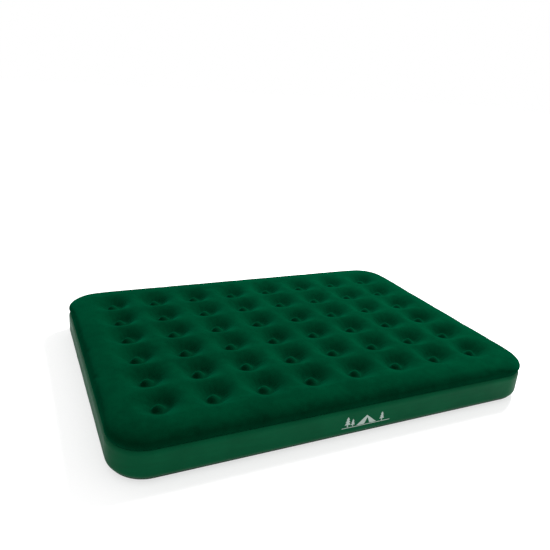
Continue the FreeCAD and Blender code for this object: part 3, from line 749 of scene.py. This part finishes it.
def tether_strap():
    """The strap runs out from the ring, drops to the wall in an S and ends in the pad. It loses 0.35 of its
    thickness at its two folds."""
    reach = np.linspace(RING_MIDDLE, tether_box[1, 1] - valve_axis[1] - 0.2 * MM, 61)
    high, low = tether_box[1, 0] - TETHER_THICK / 2, tether_box[0, 0] + TETHER_THICK / 2
    level = low + (high - low) * fade(reach, 36 * MM, 46 * MM)
    path = np.stack([level, valve_axis[1] + reach, np.full_like(reach, valve_axis[2])], axis=-1)
    forward = np.gradient(path, axis=0)
    forward /= np.linalg.norm(forward, axis=1, keepdims=True)
    thin = 1 - 0.35 * (np.exp(-(((reach - 32 * MM) / MM) ** 2)) + np.exp(-(((reach - 47 * MM) / MM) ** 2)))
    round_end = quarter_ellipse((reach[-1] - reach) / (5 * MM) + 0.04)
    upright = np.tile([0, 0, 1.0], (len(path), 1))
    return path, (upright * round_end[:, None], np.cross(upright, forward) * -thin[:, None])


ring_turn = np.arange(RING_STEPS) / RING_STEPS * 2 * np.pi
ring_out = np.stack([np.zeros_like(ring_turn), np.cos(ring_turn), np.sin(ring_turn)], axis=-1)
ring_along = np.tile([1.0, 0, 0], (RING_STEPS, 1))
ring_path = np.array([tether_box[1, 0] - TETHER_THICK / 2, *valve_axis[1:]]) + ring_out * RING_MIDDLE
ring_skin = skin(ring_path, slab_section(TETHER_THICK / 2, RING_HALF), (ring_along, ring_out), closed=True)
strap_path, strap_frames = tether_strap()
strap_skin = skin(strap_path, slab_section(TETHER_WIDTH / 2, TETHER_THICK / 2), strap_frames)
tether = from_skins("plug_tether_piece", ring_skin, strap_skin)
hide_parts("plug_tether")
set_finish(tether, "valve_vinyl")
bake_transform(tether)
print("tether", len(tether.data.polygons), "faces")

# %% [markdown]
# ## Finishes
#
# Each finish is made of nodes that read the object's own coordinates, in metres, so a pattern has its real
# size: flock with nap, satin vinyl with an orange-peel grain, embossed base vinyl, moulded plastic, rubber
# and wire. One small class lets the nodes be written as sums.

# %% Nodes as sums


class Wire:
    """An output socket. Adding, multiplying or comparing it makes the Math node that does it."""

    def __init__(self, paint, socket):
        self.paint, self.socket = paint, socket

    def maths(self, operation, *others):
        """A Math node that does this operation on the socket and on the other wires or numbers."""
        inputs = dict(enumerate((self, *others)))
        return self.paint.node("ShaderNodeMath", {"operation": operation}, inputs)

    def __add__(self, other):
        return self.maths("ADD", other)

    def __sub__(self, other):
        return self.maths("SUBTRACT", other)

    def __rsub__(self, other):
        return self.maths("MULTIPLY", -1.0) + other

    def __mul__(self, other):
        return self.maths("MULTIPLY", other)

    def __truediv__(self, other):
        return self.maths("DIVIDE", other)

    def __abs__(self):
        return self.maths("ABSOLUTE")

    __radd__, __rmul__ = __add__, __mul__


class Paint:
    def __init__(self, name, constants):
        self.material = bpy.data.materials.new(name)
        self.material.use_nodes = True
        self.tree = self.material.node_tree
        self.surface = self.tree.nodes["Principled BSDF"]
        for socket, value in constants.items():
            self.surface.inputs[socket].default_value = value
        self.place = self.node("ShaderNodeTexCoord", {}, {}, "Object")

    def node(self, kind, settings, inputs, output=0):
        """A node of this kind, with its settings made first and then its inputs linked or set."""
        made = self.tree.nodes.new(kind)
        for key, value in settings.items():
            setattr(made, key, value)
        by_name = {socket.identifier: socket for socket in made.inputs}
        for key, value in inputs.items():
            socket = made.inputs[key] if isinstance(key, int) else by_name[key]
            if isinstance(value, Wire):
                self.tree.links.new(value.socket, socket)
            else:
                socket.default_value = value
        return Wire(self, made.outputs[output])

    def axes(self):
        """X, Y and Z of the object's coordinates."""
        first = self.node("ShaderNodeSeparateXYZ", {}, {0: self.place})
        return [Wire(self, socket) for socket in first.socket.node.outputs]

    def noise(self, scale, detail=2.0, stretch=(1, 1, 1)):
        """Noise with this many cells to the metre, drawn out along an axis where stretch is below 1."""
        place = self.node("ShaderNodeMapping", {}, {"Vector": self.place, "Scale": stretch})
        return self.node("ShaderNodeTexNoise", {}, {"Vector": place, "Scale": scale, "Detail": detail})

    def ramp(self, value, low, high):
        """0 at low, 1 at high, smooth between."""
        settings = {"interpolation_type": "SMOOTHSTEP"}
        return self.node("ShaderNodeMapRange", settings, {"Value": value, "From Min": low, "From Max": high})

    def mix(self, factor, first, second):
        """The first colour where factor is 0, the second where it is 1. Each is three numbers or a wire."""
        colors = [(*color, 1) if isinstance(color, tuple) else color for color in (first, second)]
        inputs = {"Factor_Float": factor, "A_Color": colors[0], "B_Color": colors[1]}
        return self.node("ShaderNodeMix", {"data_type": "RGBA"}, inputs, "Result")

    def finish(self, color, roughness, height, depth):
        """Colour and roughness, and a bump of this height in metres where height is 1."""
        bump = self.node("ShaderNodeBump", {}, {"Height": height, "Distance": depth})
        for name, wire in (("Base Color", color), ("Roughness", roughness), ("Normal", bump)):
            self.tree.links.new(wire.socket, self.surface.inputs[name])
        return self.material


print("paint kit ready")

# %% [markdown]
# ### Flock
#
# Nylon fibres under a millimetre long stand up from the vinyl. They scatter light and shine a little at a
# glancing angle, which the sheen gives. The nap leans in broad patches, and the welding tool crushes it on
# the ring welds, where it turns darker and smoother.

# %% Flocked top
FLOCK_LIGHT, FLOCK_DARK = (0.0001, 0.0190, 0.0072), (0.0001, 0.0125, 0.0047)


def flock():
    """Lean = nap and fibre noise, mixed 3 to 1, which chooses between two greens. The weld darkens it."""
    sheen = {"Sheen Weight": 0.16, "Sheen Roughness": 0.5, "Sheen Tint": (0.0, 0.26, 0.12, 1)}
    paint = Paint("flock", {"Specular IOR Level": 0.0, **sheen})
    nap = paint.noise(7, 3) * 0.6 + paint.noise(38, 2) * 0.4
    fibre = paint.noise(1500, 1)
    lean = paint.ramp(nap * 0.75 + fibre * 0.25, 0.34, 0.66)
    crushed = paint.node("ShaderNodeAttribute", {"attribute_name": "weld"}, {}, "Fac")
    color = paint.mix(crushed * 0.4, paint.mix(lean, FLOCK_DARK, FLOCK_LIGHT), (0.0001, 0.0100, 0.0038))
    roughness = 0.96 - crushed * 0.1
    height = (fibre + paint.noise(420, 2) * 0.6) * (1 - crushed * 0.6)
    return paint.finish(color, roughness, height, 0.0004)


flock_finish = flock()
print("flock", len(flock_finish.node_tree.nodes), "nodes")

# %% [markdown]
# ### Vinyl of the side wall, and its print
#
# Calendered vinyl has a satin skin with a faint orange-peel grain and long soft streaks from the roller. The
# maker's print on the long side is stood in for by a plain picture of a tent between pine trees, in light
# grey ink. Each shape is a sum: a triangle is 1 - |x - m| / w - (z - f) / h above its foot f.

# %% Side wall's vinyl
PRINT_MIDDLE, PRINT_FOOT = 45 * MM, 58 * MM
INK = (0.30, 0.36, 0.33)


def triangle(paint, x, z, middle, foot, half_width, height):
    """1 inside an upright triangle that stands on foot."""
    up = (z - foot) / height
    inside = (1 - abs(x - middle) / half_width - up).maths("MINIMUM", up * 8)
    return paint.ramp(inside, 0.0, 0.03)


def pine(paint, x, z, middle, size):
    """A trunk under three stacked triangles."""
    tiers = [(10, 14, 19), (22, 11, 16), (33, 8, 14)]
    shape = triangle(paint, x, z, middle, PRINT_FOOT, 3 * MM * size, 44 * MM * size)
    for foot, half_width, height in tiers:
        tier = triangle(
            paint, x, z, middle, PRINT_FOOT + foot * MM * size, half_width * MM * size, height * MM * size
        )
        shape = shape.maths("MAXIMUM", tier)
    return shape


def camp_print(paint):
    """The tent, its open door, three pines and the ground, on the long side that faces -Y."""
    x, y, z = paint.axes()
    tent = triangle(paint, x, z, PRINT_MIDDLE, PRINT_FOOT, 48 * MM, 40 * MM)
    door = triangle(paint, x, z, PRINT_MIDDLE + 3 * MM, PRINT_FOOT, 13 * MM, 29 * MM)
    shape = tent * (1 - door)
    for middle, size in ((-88, 1.0), (-64, 0.72), (74, 0.85)):
        shape = shape.maths("MAXIMUM", pine(paint, x, z, PRINT_MIDDLE + middle * MM, size))
    level = 1 - paint.ramp(abs(z - (PRINT_FOOT - 3.5 * MM)), 1.1 * MM, 1.5 * MM)
    reach = 1 - paint.ramp(abs(x - PRINT_MIDDLE), 112 * MM, 116 * MM)
    shape = shape.maths("MAXIMUM", level * reach)
    return shape * (1 - paint.ramp(y, -half[1] + 10 * MM, -half[1] + 12 * MM))


def wall_vinyl():
    """Two greens mixed by a cloud of noise, with ink over them where the print is and the ink isn't worn."""
    paint = Paint("wall_vinyl", {"Specular IOR Level": 0.03})
    cloud = paint.noise(6, 3) * 0.7 + paint.noise(60, 2, (0.15, 0.15, 1)) * 0.3
    vinyl = paint.mix(paint.ramp(cloud, 0.32, 0.68), (0.0001, 0.048, 0.0183), (0.0002, 0.059, 0.0226))
    ink = camp_print(paint)
    worn = paint.ramp(paint.noise(900, 2), 0.24, 0.36)
    color = paint.mix(ink * worn, vinyl, INK)
    roughness = 0.4 + paint.noise(35, 2) * 0.16 + ink * 0.1
    height = paint.noise(520, 2) * 0.16 + paint.noise(26, 3) * 0.8 + ink * 0.06
    return paint.finish(color, roughness, height, 0.0006)


wall_finish = wall_vinyl()
print("side wall vinyl", len(wall_finish.node_tree.nodes), "nodes")

# %% [markdown]
# ### The other finishes
#
# The base vinyl is rolled with small diamonds so it doesn't slide. The coil beams are plain film. The valve
# is moulded: a soft green flange and tether, hard black plug parts with a faint flow pattern, rubber for the
# seal and the flap, and drawn wire for the spring.

# %% Base vinyl and coil film


def base_vinyl():
    """Diamonds are the product of two sine waves that cross, and fade out on the ring welds."""
    paint = Paint("base_vinyl", {"Specular IOR Level": 0.25})
    x, y, _ = paint.axes()
    crossed = ((x + y) * 1050).maths("SINE") * ((x - y) * 1050).maths("SINE")
    cloud = paint.noise(5, 3)
    crushed = paint.node("ShaderNodeAttribute", {"attribute_name": "weld"}, {}, "Fac")
    vinyl = paint.mix(paint.ramp(cloud, 0.3, 0.7), (0.0005, 0.020, 0.0085), (0.0007, 0.028, 0.0115))
    color = paint.mix(crushed * 0.5, vinyl, (0.0004, 0.012, 0.005))
    roughness = 0.52 + abs(crossed) * 0.12 + paint.noise(300, 2) * 0.08
    return paint.finish(color, roughness, crossed * (1 - crushed) + paint.noise(700, 1) * 0.2, 0.0003)


def coil_film():
    """Streaks are noise drawn out up the tube."""
    paint = Paint("coil_film", {"Specular IOR Level": 0.35})
    streak = paint.noise(140, 2, (1, 1, 0.1))
    color = paint.mix(paint.ramp(streak, 0.3, 0.7), (0.015, 0.060, 0.032), (0.030, 0.085, 0.048))
    return paint.finish(color, 0.34 + paint.noise(60, 2) * 0.2, paint.noise(90, 3) + streak * 0.3, 0.0006)


base_finish, coil_finish = base_vinyl(), coil_film()
print("base vinyl", len(base_finish.node_tree.nodes), "nodes, coil film", len(coil_finish.node_tree.nodes))

# %% Moulded parts, rubber and wire


def valve_vinyl():
    """Two greens mixed by noise, under a very fine grain."""
    paint = Paint("valve_vinyl", {"Specular IOR Level": 0.3})
    cloud = paint.noise(120, 2)
    color = paint.mix(paint.ramp(cloud, 0.3, 0.7), (0.0007, 0.030, 0.0120), (0.0010, 0.040, 0.0160))
    return paint.finish(color, 0.46 + paint.noise(800, 2) * 0.18, paint.noise(2600, 2), 0.00006)


def valve_plastic():
    """Ribs are a sine of the angle about the valve's axis, near the rim. Turning marks are one of radius."""
    paint = Paint("valve_plastic", {"Specular IOR Level": 0.16})
    _, y, z = paint.axes()
    flow = paint.noise(160, 3, (1, 0.4, 1))
    across, up = y - valve_axis[1], z - valve_axis[2]
    angle = up.maths("ARCTAN2", across)
    radius = (across * across + up * up).maths("SQRT")
    ribs = (angle * 72).maths("SINE") * paint.ramp(radius, 27 * MM, 28.5 * MM)
    rings = (radius * 9000).maths("SINE") * (1 - paint.ramp(radius, 24 * MM, 26 * MM))
    color = paint.mix(paint.ramp(flow, 0.3, 0.7), (0.007, 0.008, 0.008), (0.013, 0.014, 0.014))
    roughness = 0.36 + paint.noise(1200, 2) * 0.2
    return paint.finish(color, roughness, ribs * 0.3 + rings * 0.02 + paint.noise(3000, 2) * 0.12, 0.0002)


def seal_rubber():
    """Black, with pale dust where noise is high."""
    paint = Paint("seal_rubber", {"Specular IOR Level": 0.3, "Sheen Weight": 0.1, "Sheen Roughness": 0.6})
    dust = paint.ramp(paint.noise(500, 3), 0.5, 0.8)
    color = paint.mix(dust * 0.4, (0.014, 0.014, 0.014), (0.045, 0.044, 0.042))
    return paint.finish(color, 0.7 + dust * 0.15, paint.noise(2200, 2), 0.00008)


def spring_steel():
    """Bright metal with drawing marks, which are noise drawn out in Y and Z, the way the wire runs."""
    paint = Paint("spring_steel", {"Metallic": 1.0})
    drawn = paint.noise(6000, 2, (1, 0.2, 0.2))
    color = paint.mix(drawn, (0.42, 0.42, 0.43), (0.62, 0.62, 0.63))
    return paint.finish(color, 0.22 + drawn * 0.16, drawn, 0.00003)


finishes = {
    "flocked_top": flock_finish,
    "wall_vinyl": wall_finish,
    "base_vinyl": base_finish,
    "coil_vinyl": coil_finish,
    "valve_vinyl": valve_vinyl(),
    "valve_plastic": valve_plastic(),
    "seal_rubber": seal_rubber(),
    "spring_steel": spring_steel(),
}
print("finishes", {name: len(finish.node_tree.nodes) for name, finish in finishes.items()})

# %% [markdown]
# The record says which finish each node of the frame takes, and each new piece was given its own above.

# %% Put each finish on its pieces
slot_of_node = {part["node"]: part["material_slot"] for part in frame["record"]["subparts"]}


def dress(thing, slot):
    """Gives a piece the one finish of this slot."""
    thing.data.materials.clear()
    thing.data.materials.append(finishes[slot])


for name, thing in frame["nodes"].items():
    dress(thing, slot_of_node[name])
new_pieces = (top, wall, base, spring, plug_thread, collar_thread, tether)
for piece in new_pieces:
    dress(piece, piece["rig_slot"])
print("dressed", len(frame["nodes"]), "nodes and", len(new_pieces), "new pieces")

# %% [markdown]
# ## Camera, floor and light
#
# The camera stands off one corner and a little above, and is rolled slightly. The light is a soft box high up
# beyond the valve's end, in a white room, so slopes that face away from it go dark and each dimple shows. The
# floor gives off light of its own, so that it stays as pale as the room behind it.

# %% Camera
CAMERA = {"azimuth": -26.05, "elevation": 19.66, "roll": -4.35, "distance": 3.758, "aim": (0.364, 0.902, 0.1)}
LENS = 37.39


def camera_matrix(azimuth, elevation, roll, distance, aim):
    """A camera that looks at aim from an azimuth and an elevation, then turned about its own axis by roll."""
    a, e = math.radians(azimuth), math.radians(elevation)
    back = Vector((math.sin(a) * math.cos(e), -math.cos(a) * math.cos(e), math.sin(e)))
    right = (-back).cross(Vector((0, 0, 1))).normalized()
    upright = Matrix((right, back.cross(right), back)).transposed()
    turned = upright @ Matrix.Rotation(math.radians(-roll), 3, "Z")
    return Matrix.Translation(Vector(aim) + back * distance) @ turned.to_4x4()


camera = bpy.data.objects.new("camera", bpy.data.cameras.new("camera"))
camera.data.lens, camera.data.sensor_width = LENS, 36
camera.matrix_world = camera_matrix(**CAMERA)
bpy.context.collection.objects.link(camera)
bpy.context.scene.camera = camera
bpy.context.scene.view_settings.view_transform = "Standard"
print("camera at", [round(c, 3) for c in camera.matrix_world.translation])

# %% Floor and light
corners = np.array([[-30, -30, 0], [30, -30, 0], [30, 30, 0], [-30, 30, 0]], float)
floor = new_piece("floor", corners - (0, 0, 1 * MM), np.array([[0, 1, 2, 3]]))
pale = {"Base Color": (0.42, 0.42, 0.42, 1), "Roughness": 0.9, "Specular IOR Level": 0.0}
floor_paint = Paint("floor", pale | {"Emission Color": (1, 1, 1, 1), "Emission Strength": 0.62})
floor.data.materials.append(floor_paint.material)

world = bpy.data.worlds.new("white_room")
bpy.context.scene.world = world
world.use_nodes = True
room = world.node_tree.nodes["Background"]
room.inputs["Color"].default_value, room.inputs["Strength"].default_value = (1, 1, 1, 1), 1.0


def soft_box(name, place, aim, size, power):
    """A square area light at place, turned to aim."""
    light = bpy.data.objects.new(name, bpy.data.lights.new(name, "AREA"))
    light.data.shape, light.data.size, light.data.energy = "SQUARE", size, power
    light.location = place
    light.rotation_euler = (Vector(aim) - Vector(place)).to_track_quat("-Z", "Y").to_euler()
    bpy.context.collection.objects.link(light)


soft_box("far_soft_box", (3.4, 1.6, 4.4), (0, 0, 0), 1.4, 900)
print("lit")
